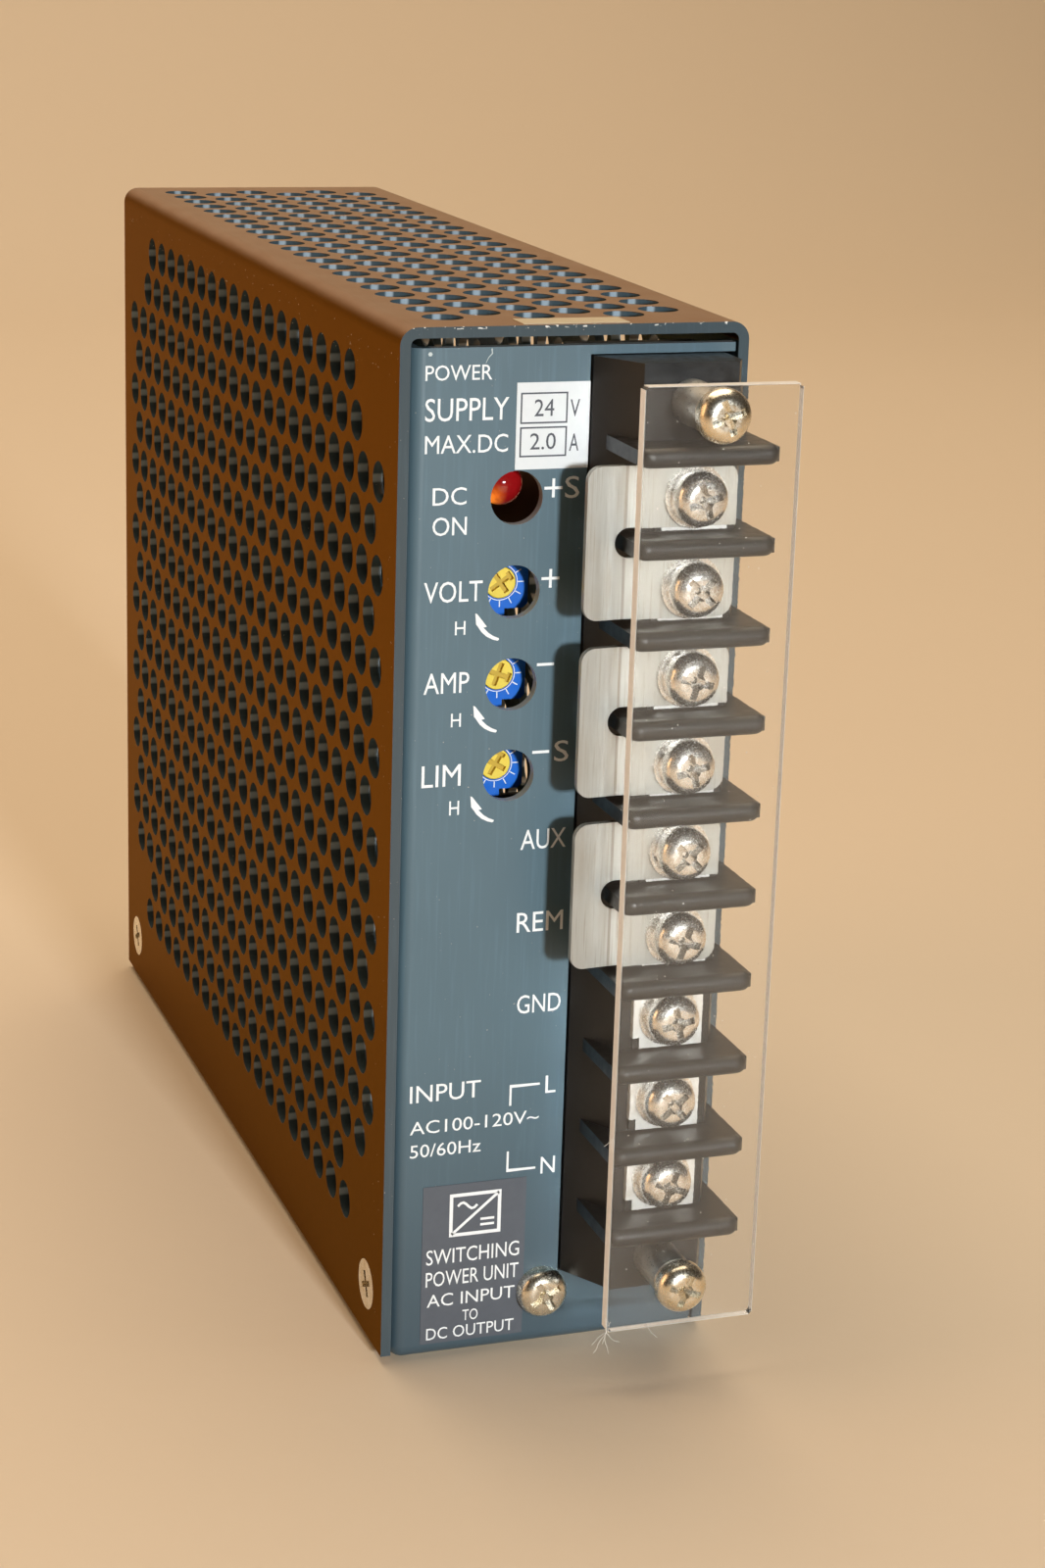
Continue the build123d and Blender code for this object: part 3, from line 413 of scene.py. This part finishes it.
finishes = {
    "cover_paint": cover_paint(),
    "chassis_paint": chassis_paint(),
    "block_plastic": moulded("block_plastic", (0.0040, 0.0040, 0.0042), (0.0080, 0.0076, 0.0072), 0.28, 0.42,
                             dusty=0.02),
    "nickel_plate": metal("nickel_plate", (0.80, 0.77, 0.71), (0.66, 0.61, 0.52), 0.26, 0.42),
    "gold_zinc": metal("gold_zinc", (0.90, 0.85, 0.74), (0.74, 0.64, 0.46), 0.20, 0.34, size=1.6 * MM),
    "clear_acrylic": clear_sheet(),
    "board_laminate": board_green(),
    "film": moulded("film", (0.030, 0.028, 0.028), (0.045, 0.042, 0.040), 0.40, 0.55, 12 * MM),
    "led_lens": red_lens(),
    "trimmer_blue": moulded("trimmer_blue", (0.006, 0.135, 0.62), (0.010, 0.17, 0.74), 0.30, 0.45),
    "rotor_yellow": rotor_yellow(),
    "fuse_glass": fuse_tube(),
    "ferrite": moulded("ferrite", (0.035, 0.035, 0.038), (0.060, 0.058, 0.060), 0.5, 0.7, 1 * MM, 0.02 * MM),
    "copper_wire": wound_copper(),
    "film_capacitor": moulded("film_capacitor", (0.70, 0.48, 0.05), (0.82, 0.60, 0.10), 0.3, 0.45),
    "black_epoxy": moulded("black_epoxy", (0.020, 0.020, 0.021), (0.032, 0.031, 0.031), 0.45, 0.62),
    "capacitor_sleeve": sleeved_can(),
    "aluminium": metal("aluminium", (0.74, 0.74, 0.75), (0.62, 0.62, 0.63), 0.30, 0.46, (1, 14, 1)),
    "coil_tape": taped_coil(),
    "clip_plastic": moulded("clip_plastic", (0.028, 0.028, 0.030), (0.042, 0.041, 0.042), 0.42, 0.6),
    "spring_steel": metal("spring_steel", (0.60, 0.60, 0.61), (0.46, 0.45, 0.44), 0.24, 0.38),
}


plated_screws, plated_straps, plated_seats = screw_metal(), strap_metal(), seat_metal()
own_finishes = {  # nodes whose names start so have their own finish
    "jumper": plated_straps,
    "terminal_seats": plated_seats,
    "terminal_screw": plated_screws,
    "terminal_washers": plated_screws,
}

for name, node in nodes.items():
    own = next((own_finishes[start] for start in own_finishes if name.startswith(start)), None)
    slots = node.data.materials
    for index, slot in enumerate(slots):
        slots[index] = (own or finishes[slot.name.split(".")[0]]).material


# ---------------------------------------------------------------- pieces
def piece(name, mesh, finish, body):
    obj = bpy.data.objects.new(name, mesh)
    bpy.context.scene.collection.objects.link(obj)
    mesh.materials.clear()
    mesh.materials.append(finish.material)
    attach(obj, body)
    return obj


def mesh_of(bm, name):
    bmesh.ops.recalc_face_normals(bm, faces=bm.faces)
    mesh = bpy.data.meshes.new(name)
    bm.to_mesh(mesh)
    bm.free()
    return mesh


def add_box(bm, low, high):
    """A box from one corner to the other."""
    low, high = Vector(low), Vector(high)
    placed = Matrix.Translation((low + high) / 2) @ Matrix.Diagonal((*(high - low), 1))
    bmesh.ops.create_cube(bm, size=1.0, matrix=placed)


class Print:
    """Thin raised ink on a face. Plans are drawn in millimetres, x to the right and z up."""

    def __init__(self, face, depth=0.03):
        self.bm = bmesh.new()
        self.face = face / MM
        self.depth = depth

    def slab(self, outline):
        """A closed outline as a slab standing out from the face."""
        back = [self.bm.verts.new((x * MM, self.face * MM, z * MM)) for x, z in outline]
        front = [self.bm.verts.new((x * MM, (self.face - self.depth) * MM, z * MM)) for x, z in outline]
        self.bm.faces.new(back)
        self.bm.faces.new(reversed(front))
        for i, vert in enumerate(back):
            j = (i + 1) % len(back)
            self.bm.faces.new((vert, front[i], front[j], back[j]))

    def rect(self, x0, x1, z0, z1):
        self.slab(((x0, z0), (x1, z0), (x1, z1), (x0, z1)))

    def line(self, points, width, end_width=None):
        """A stroke through the points with mitred joints, which may taper to end_width."""
        end_width = width if end_width is None else end_width
        last = len(points) - 1
        left, right = [], []
        for i, (x, z) in enumerate(points):
            before, after = points[max(i - 1, 0)], points[min(i + 1, last)]
            along = Vector((after[0] - before[0], after[1] - before[1])).normalized()
            reach = (width + (end_width - width) * i / last) / 2
            if 0 < i < last:
                into = Vector((x - before[0], z - before[1])).normalized()
                reach /= max(0.4, into.dot(along))
            left.append((x - along.y * reach, z + along.x * reach))
            right.append((x + along.y * reach, z - along.x * reach))
        self.slab(left + right[::-1])

    def frame(self, x0, x1, z0, z1, width):
        for low, high in ((z0, z0 + width), (z1 - width, z1)):
            self.rect(x0, x1, low, high)
        for low, high in ((x0, x0 + width), (x1 - width, x1)):
            self.rect(low, high, z0 + width, z1 - width)

    def text(self, words, x0, x1, z0, z1):
        """Lettering stretched to fill a box."""
        curve = bpy.data.curves.new("lettering", "FONT")
        curve.body = words
        curve.resolution_u = 3
        source = bpy.data.objects.new("lettering", curve)
        bpy.context.scene.collection.objects.link(source)
        graph = bpy.context.evaluated_depsgraph_get()
        graph.update()
        flat = bpy.data.meshes.new_from_object(source.evaluated_get(graph))
        xs = [v.co.x for v in flat.vertices]
        ys = [v.co.y for v in flat.vertices]
        wide, tall = (x1 - x0) / (max(xs) - min(xs)), (z1 - z0) / (max(ys) - min(ys))
        for v in flat.vertices:
            x = x0 + (v.co.x - min(xs)) * wide
            z = z0 + (v.co.y - min(ys)) * tall
            v.co = (x * MM, self.face * MM, z * MM)
        layer = bmesh.new()
        layer.from_mesh(flat)
        raised = bmesh.ops.extrude_face_region(layer, geom=layer.faces[:])["geom"]
        for v in raised:
            if isinstance(v, bmesh.types.BMVert):
                v.co.y -= self.depth * MM
        scratch = bpy.data.meshes.new("lettering")
        layer.to_mesh(scratch)
        layer.free()
        self.bm.from_mesh(scratch)
        bpy.data.objects.remove(source)
        for mesh in (flat, scratch):
            bpy.data.meshes.remove(mesh)

    def done(self, name, finish, body="root"):
        return piece(name, mesh_of(self.bm, name), finish, body)


def ink(name, color, other):
    f = Finish(name)
    f.set("Base Color", f.mix(f.noise(0.9 * MM, 3), color, other))
    f.set("Roughness", f.level(f.noise(1.5 * MM), 0.42, 0.6))
    return f.bump(f.noise(0.2 * MM, 2), 0.004 * MM)


white_ink = ink("white_ink", (0.95, 0.96, 0.96), (0.82, 0.84, 0.85))
grey_ink = ink("grey_ink", (0.055, 0.062, 0.080), (0.085, 0.092, 0.110))
white_vinyl = ink("white_vinyl", (0.80, 0.82, 0.83), (0.73, 0.76, 0.78))
grey_vinyl = ink("grey_vinyl", (0.100, 0.112, 0.134), (0.080, 0.090, 0.110))
rubbed_metal = ink("rubbed_metal", (0.62, 0.68, 0.68), (0.38, 0.45, 0.46))
glowing_frost = ink("frosted_edge_glow", (0.66, 0.62, 0.56), (0.48, 0.44, 0.39))
# Painted light: the frosted edges glow a little, standing in for light carried along the sheet.
glowing_frost.set("Emission Color", (0.40, 0.34, 0.28))
glowing_frost.set("Emission Strength", 0.6)
paper_tape = ink("paper_tape", (0.62, 0.52, 0.36), (0.54, 0.45, 0.31))

LEGENDS = (  # words, left, right, low, high
    ("POWER", -17.0, -9.5, 115.2, 116.85),
    ("SUPPLY", -16.95, -7.5, 110.8, 113.3),
    ("MAX.DC", -16.9, -7.5, 107.3, 109.3),
    ("DC", -15.9, -12.05, 101.65, 103.6),
    ("ON", -15.85, -11.95, 98.3, 100.35),
    ("S", -0.75, 0.9, 101.95, 104.4),
    ("VOLT", -16.65, -9.95, 90.85, 93.2),
    ("H", -13.0, -11.8, 87.15, 88.7),
    ("AMP", -16.45, -11.2, 80.6, 82.95),
    ("H", -13.2, -12.05, 76.7, 78.25),
    ("LIM", -16.45, -11.9, 69.9, 72.4),
    ("H", -13.15, -12.0, 66.5, 68.15),
    ("S", -0.95, 0.75, 71.95, 74.4),
    ("AUX", -4.6, 0.8, 61.8, 64.15),
    ("REM", -4.75, 0.8, 51.95, 54.3),
    ("GND", -4.4, 0.9, 42.05, 44.3),
    ("INPUT", -17.0, -8.5, 32.3, 34.4),
    ("AC100-120V~", -16.9, -1.3, 28.4, 30.0),
    ("50/60Hz", -16.85, -8.3, 25.5, 27.1),
    ("L", -0.6, 0.65, 31.95, 34.1),
    ("N", -0.85, 0.9, 21.85, 23.95),
)
STROKE = 0.32
ARROW = ((-0.10, 0.0), (0.12, -0.08), (1.28, -1.56), (0.88, -1.66), (1.52, -2.30), (2.10, -2.68), (2.70, -2.93),
         (2.72, -3.08), (2.58, -3.22), (1.98, -3.06), (1.26, -2.68), (0.68, -2.16), (0.22, -1.50), (0.02, -1.26))
ARROWS = ((-10.6, 89.5), (-10.55, 79.0), (-10.6, 68.55))
panel_print = Print(PANEL_FACE)
for words, x0, x1, z0, z1 in LEGENDS:
    panel_print.text(words, x0, x1, z0, z1)
for x, z in ((-2.1, 103.15), (-2.1, 93.05)):
    panel_print.rect(x - 1.05, x + 1.05, z - STROKE / 2, z + STROKE / 2)
    for low, high in ((z - 1.05, z - STROKE / 2), (z + STROKE / 2, z + 1.05)):
        panel_print.rect(x - STROKE / 2, x + STROKE / 2, low, high)
for x, z in ((-2.35, 83.3), (-2.55, 73.2)):
    panel_print.rect(x - 1.0, x + 1.0, z - STROKE / 2, z + STROKE / 2)
for x, z in ARROWS:
    panel_print.slab([(x + dx, z + dz) for dx, dz in ARROW])
panel_print.line(((-4.85, 30.8), (-4.85, 33.2), (-1.3, 33.2)), 0.26)
panel_print.line(((-4.95, 25.1), (-4.95, 22.7), (-1.5, 22.7)), 0.26)
panel_print.done("panel_legends", white_ink)
scuffs = Print(PANEL_FACE, 0.012)
scuffs.line(((-9.62, 118.55), (-9.55, 118.0), (-9.95, 117.6), (-10.25, 117.0)), 0.15, 0.06)
scuffs.slab([(-16.5 + 0.26 * math.cos(a), 118.05 + 0.24 * math.sin(a)) for a in (0, 1.1, 2.0, 3.0, 4.1, 5.3)])
scuffs.done("panel_scuffs", rubbed_metal)

RATING = (-6.65, 1.75, 105.3, 114.8)
FOIL = 0.08
rating_label = Print(PANEL_FACE, FOIL)
rating_label.rect(*RATING)
rating_label.done("rating_label", white_vinyl)
rating_print = Print(PANEL_FACE - FOIL * MM, 0.02)
for low, high in ((110.3, 113.7), (106.65, 109.95)):
    rating_print.frame(-6.2, -0.8, low, high, 0.18)
rating_print.text("24", -4.6, -2.35, 111.1, 112.95)
rating_print.text("2.0", -5.0, -2.05, 107.45, 109.25)
rating_print.text("V", -0.5, 0.6, 110.95, 112.85)
rating_print.text("A", -0.5, 0.6, 107.2, 109.1)
rating_print.done("rating_print", grey_ink)

MAKER = (-15.15, -2.55, 1.75, 21.7)
maker_label = Print(PANEL_FACE, FOIL)
maker_label.rect(*MAKER)
maker_label.done("maker_label", grey_vinyl)
maker_print = Print(PANEL_FACE - FOIL * MM, 0.02)
maker_print.frame(-11.9, -5.6, 15.1, 20.5, 0.42)
maker_print.line(((-11.6, 15.4), (-5.9, 20.2)), 0.34)
wave = [(-10.9 + 0.34 * i, 18.9 + 0.42 * math.sin(i * math.pi / 3.5)) for i in range(8)]
maker_print.line(wave, 0.3)
for z in (16.3, 17.0):
    maker_print.rect(-8.1, -6.4, z - 0.15, z + 0.15)
for words, x0, x1, z0, z1 in (
    ("SWITCHING", -14.6, -3.2, 11.8, 13.7),
    ("POWER UNIT", -14.6, -3.2, 9.0, 10.9),
    ("AC INPUT", -14.4, -3.6, 6.4, 8.0),
    ("TO", -10.0, -8.1, 4.2, 5.6),
    ("DC OUTPUT", -14.4, -3.6, 2.2, 3.7),
):
    maker_print.text(words, x0, x1, z0, z1)
maker_print.done("maker_print", white_ink)

# The clear cover's edges, frosted by the saw, with a painted glow. The strips stop short of the corners.
FROST = 0.05 * MM
SHORT = 0.3 * MM
edges = bmesh.new()
edge_y = (clear_low.y + 0.05 * MM, clear_high.y - 0.05 * MM)
for x0, x1, z0, z1 in (
    (clear_low.x - FROST, clear_low.x, clear_low.z + SHORT, clear_high.z - SHORT),
    (clear_high.x, clear_high.x + FROST, clear_low.z + SHORT, clear_high.z - SHORT),
    (clear_low.x + SHORT, clear_high.x - SHORT, clear_high.z, clear_high.z + FROST),
    (clear_low.x + SHORT, clear_high.x - SHORT, clear_low.z - FROST, clear_low.z),
):
    add_box(edges, (x0, edge_y[0], z0), (x1, edge_y[1], z1))
piece("clear_cover_edges", mesh_of(edges, "clear_cover_edges"), glowing_frost, "clear_cover")

# A strip of paper tape on the top, between the front edge and the first holes.
tape = bmesh.new()
add_box(tape, (-6.0 * MM, CASE_FRONT + 0.7 * MM, CASE_TOP), (6.2 * MM, CASE_FRONT + 4.5 * MM, CASE_TOP + 0.08 * MM))
bmesh.ops.bevel(tape, geom=tape.edges[:], offset=0.02 * MM, segments=1, affect="EDGES")
piece("top_tape", mesh_of(tape, "top_tape"), paper_tape, "root")

# Trimmer scales: an arc and ticks round each rotor.
trimmer_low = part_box("trimmer_bodies")[0]
scale_print = Print(trimmer_low.y, 0.03)
for number in (1, 2, 3):
    low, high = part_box(f"trimmer_rotor_{number}")
    cx, cz = (low.x + high.x) / 2 / MM, (low.z + high.z) / 2 / MM
    r = (high.x - low.x) / 2 / MM
    rim = [math.radians(a) for a in range(-150, 151, 10)]
    scale_print.line([(cx + (r + 0.22) * math.sin(a), cz - (r + 0.22) * math.cos(a)) for a in rim], 0.09)
    for a in rim[::3]:
        near, far = r + 0.3, r + 1.0
        scale_print.line(((cx + near * math.sin(a), cz - near * math.cos(a)),
                          (cx + far * math.sin(a), cz - far * math.cos(a))), 0.13)
scale_print.done("trimmer_scales", white_ink)


# ---------------------------------------------------------------- latch spring
def coil_spring():
    """A compression spring with closed ends, as a tube along Z."""
    low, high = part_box("latch_spring")
    wire = 0.25 * MM
    radius = (high.x - low.x) / 2 - wire
    centre = (low + high) / 2
    turns, steps, sides = 7, 24, 10
    bottom, top = low.z + wire, high.z - wire
    bm = bmesh.new()
    rings = []
    for i in range(turns * steps + 1):
        turned = i / steps
        pitch = min(max((turned - 1) / (turns - 2), 0), 1)
        height = bottom + 2 * wire * min(turned, 1) + 2 * wire * max(turned - (turns - 1), 0)
        height += (top - bottom - 4 * wire) * pitch
        a = 2 * math.pi * turned
        out = Vector((math.cos(a), math.sin(a), 0))
        at = Vector((centre.x, centre.y, height)) + out * radius
        rings.append([bm.verts.new(at + out * (wire * math.cos(b)) + Vector((0, 0, wire * math.sin(b))))
                      for b in (2 * math.pi * k / sides for k in range(sides))])
    for one, two in zip(rings, rings[1:]):
        for k in range(sides):
            bm.faces.new((one[k], one[(k + 1) % sides], two[(k + 1) % sides], two[k]))
    bm.faces.new(rings[0][::-1])
    bm.faces.new(rings[-1])
    for face in bm.faces:
        face.smooth = True
    obj = piece("latch_spring_coil", mesh_of(bm, "latch_spring_coil"), finishes["spring_steel"],
                "root")
    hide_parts("latch_spring")
    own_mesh(obj)


coil_spring()


# ---------------------------------------------------------------- wear and dust
lint = ink("lint", (0.78, 0.74, 0.68), (0.62, 0.57, 0.50))


def flecks(name, count, near, far, size, seed, body, out):
    """Small irregular flakes scattered between two corners of a face that looks along out."""
    rng = random.Random(seed)
    across = Vector(out).cross(Vector((0, 0, 1)))
    bm = bmesh.new()
    for _ in range(count):
        at = Vector([rng.uniform(a, b) for a, b in zip(near, far)])
        r = rng.uniform(*size) * MM
        ring = []
        for k in range(6):
            a = k * math.pi / 3 + rng.uniform(-0.3, 0.3)
            reach = r * rng.uniform(0.55, 1.0)
            step = across * math.cos(a) + Vector((0, 0, math.sin(a)))
            ring.append(bm.verts.new(at + step * reach))
        top = bmesh.ops.extrude_face_region(bm, geom=[bm.faces.new(ring)])["geom"]
        for v in top:
            if isinstance(v, bmesh.types.BMVert):
                v.co += Vector(out) * 0.015 * MM
    piece(name, mesh_of(bm, name), lint, body)


wall_near = CASE_FRONT + 0.5 * MM
flecks("clear_cover_dust", 150, clear_low, (clear_high.x, clear_low.y, clear_high.z),
       (0.03, 0.10), 4, "clear_cover", (0, -1, 0))
flecks("left_wall_dust", 90, (case_low.x, wall_near, 114.8 * MM), (case_low.x, -CASE_FRONT, 118.5 * MM),
       (0.04, 0.10), 5, "root", (-1, 0, 0))
flecks("front_strip_dust", 40, (case_low.x, wall_near, 2 * MM), (case_low.x, CASE_FRONT + 4.5 * MM, 118 * MM),
       (0.03, 0.09), 6, "root", (-1, 0, 0))


def fibres(name, roots, seed, body):
    """Fine hairs caught on an edge, each a thin curved tube."""
    rng = random.Random(seed)
    curve = bpy.data.curves.new(name, "CURVE")
    curve.dimensions = "3D"
    curve.bevel_depth = 0.03 * MM
    curve.bevel_resolution = 1
    for root in roots:
        spline = curve.splines.new("NURBS")
        spline.points.add(4)
        at = Vector(root)
        lean = Vector((rng.uniform(-1, 1), rng.uniform(-0.3, 0.3), rng.uniform(-1, 0.6))).normalized()
        for point in spline.points:
            point.co = (*at, 1)
            bend = Vector((rng.uniform(-1, 1), rng.uniform(-0.6, 0.2), rng.uniform(-1, 1)))
            at = at + (lean + bend * 0.7) * 0.45 * MM
        spline.order_u = 3
        spline.use_endpoint_u = True
    holder = bpy.data.objects.new(name, curve)
    bpy.context.scene.collection.objects.link(holder)
    graph = bpy.context.evaluated_depsgraph_get()
    mesh = bpy.data.meshes.new_from_object(holder.evaluated_get(graph))
    bpy.data.objects.remove(holder)
    mesh.name = name
    piece(name, mesh, lint, body)


lint_roots = [clear_low] * 9
lint_roots += [clear_low + Vector((0, 0, 24 * MM))] * 2
lint_roots += [clear_low + Vector((5 * MM, 0, 0))] * 2
fibres("clear_cover_lint", lint_roots, 7, "clear_cover")


# ---------------------------------------------------------------- stage, lights and camera
def backdrop():
    """A pale floor that curves up into a backdrop."""
    half, front, bend, radius, top = 3.0, -2.5, 0.75, 0.5, 2.6
    profile = [(front, 0.0), (bend, 0.0)]
    profile += [(bend + radius * math.sin(a), radius * (1 - math.cos(a)))
                for a in (math.radians(d) for d in range(6, 91, 6))]
    profile.append((bend + radius, top))
    bm = bmesh.new()
    rows = [[bm.verts.new((x, y, z)) for x in (-half, half)] for y, z in profile]
    for one, two in zip(rows, rows[1:]):
        bm.faces.new((one[0], one[1], two[1], two[0])).smooth = True
    mesh = bpy.data.meshes.new("floor")
    bm.to_mesh(mesh)
    bm.free()
    obj = bpy.data.objects.new("floor", mesh)
    bpy.context.scene.collection.objects.link(obj)
    f = Finish("floor", roughness=0.75)
    f.set("Base Color", f.mix(f.noise(0.5, 3), (0.72, 0.58, 0.43), (0.76, 0.62, 0.47)))
    f.bump(f.noise(4 * MM, 3), 0.05 * MM)
    mesh.materials.append(f.material)
    obj.location.z = -0.05 * MM


AIM = Vector((0, CASE_FRONT, CASE_TOP / 2))


def lamp(name, azimuth, elevation, distance, size, power, color, spread=180.0):
    """A square light aimed at the middle of the front. Azimuth 0 shines from the front."""
    a, e = math.radians(azimuth), math.radians(elevation)
    back = Vector((math.sin(a) * math.cos(e), -math.cos(a) * math.cos(e), math.sin(e)))
    data = bpy.data.lights.new(name, "AREA")
    data.size = size
    data.energy = power
    data.spread = math.radians(spread)
    data.color = color
    obj = bpy.data.objects.new(name, data)
    obj.location = AIM + back * distance
    obj.rotation_euler = back.to_track_quat("Z", "Y").to_euler()
    bpy.context.scene.collection.objects.link(obj)


backdrop()
lamp("key", 1.5, 12.0, 0.9, 0.06, 1.0, (0.93, 0.98, 1.0), spread=70.0)
lamp("overhead", 170.0, 72.0, 1.4, 1.4, 17.0, (1.0, 0.84, 0.62))
lamp("left", -104.0, 18.0, 0.9, 0.6, 2.6, (1.0, 0.60, 0.30))
lamp("back", 190.0, 35.0, 1.6, 1.2, 4.0, (1.0, 0.86, 0.70))
world = bpy.data.worlds.new("surround")
world.use_nodes = True
surround = world.node_tree.nodes["Background"]
surround.inputs["Color"].default_value = (1.0, 0.80, 0.58, 1)
surround.inputs["Strength"].default_value = 0.05
bpy.context.scene.world = world
bpy.context.scene.view_settings.view_transform = "Standard"

# The camera, fitted to the case's corners, the rows of holes and the terminal pitch.
CAMERA_AT = Vector((-115.19, -382.66, 168.47)) * MM
CAMERA_AZIMUTH, CAMERA_ELEVATION, CAMERA_ROLL = -19.458, 16.585, 1.831
azimuth, elevation = math.radians(CAMERA_AZIMUTH), math.radians(CAMERA_ELEVATION)
back = Vector((math.sin(azimuth) * math.cos(elevation), -math.cos(azimuth) * math.cos(elevation),
               math.sin(elevation)))
level = Vector((0, 0, 1)).cross(back).normalized()
turn = Matrix.Rotation(math.radians(CAMERA_ROLL), 3, back)
right, up = turn @ level, turn @ back.cross(level)
camera_data = bpy.data.cameras.new("camera")
camera_data.lens = 71.04
camera_data.sensor_width = 36.0
camera = bpy.data.objects.new("camera", camera_data)
camera.matrix_world = Matrix.Translation(CAMERA_AT) @ Matrix((right, up, back)).transposed().to_4x4()
bpy.context.scene.collection.objects.link(camera)
bpy.context.scene.camera = camera
